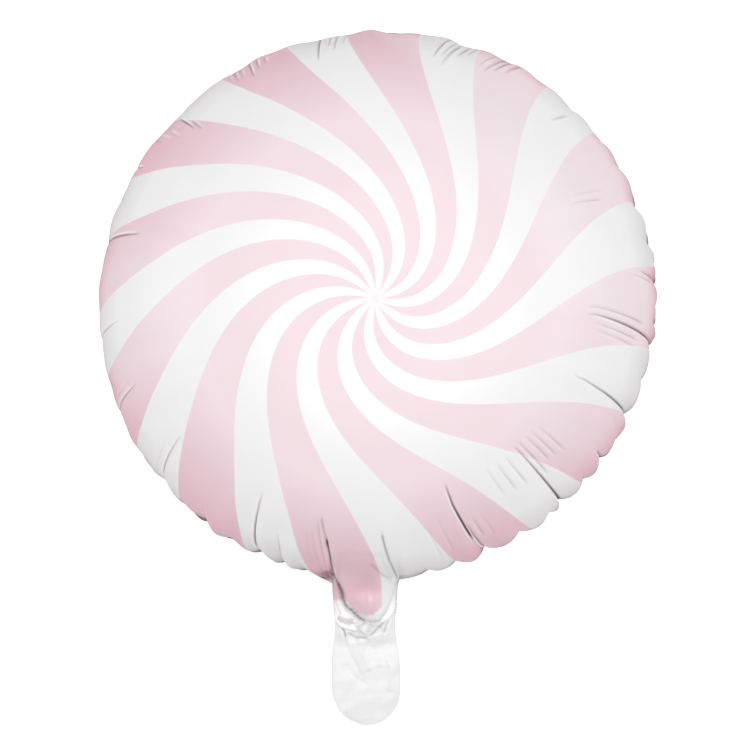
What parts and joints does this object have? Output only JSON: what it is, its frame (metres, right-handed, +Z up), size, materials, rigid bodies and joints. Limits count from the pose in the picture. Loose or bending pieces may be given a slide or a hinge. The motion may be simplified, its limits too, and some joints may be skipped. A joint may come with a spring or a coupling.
{
  "type": "foil balloon",
  "caption": "Round foil balloon printed as a pink and white candy swirl, filled tight, with folds round its welded rim and a flat clear filling tail.",
  "frame": {"origin": "middle of the flat resting spot under the filled body", "axes": "+Z up through the middle of the printed front face, -Y towards the filling tail, +X to the right as the front face is seen with the tail down"},
  "size_m": [0.3527, 0.4393, 0.2095],
  "materials": {
    "printed_film": "satin printed foil film, pale pink and white swirl",
    "clear_film": "unprinted milky clear film"
  },
  "bodies": {
    "root": {"envelope": "printed_film", "tail": "clear_film"}
  },
  "joints": []
}
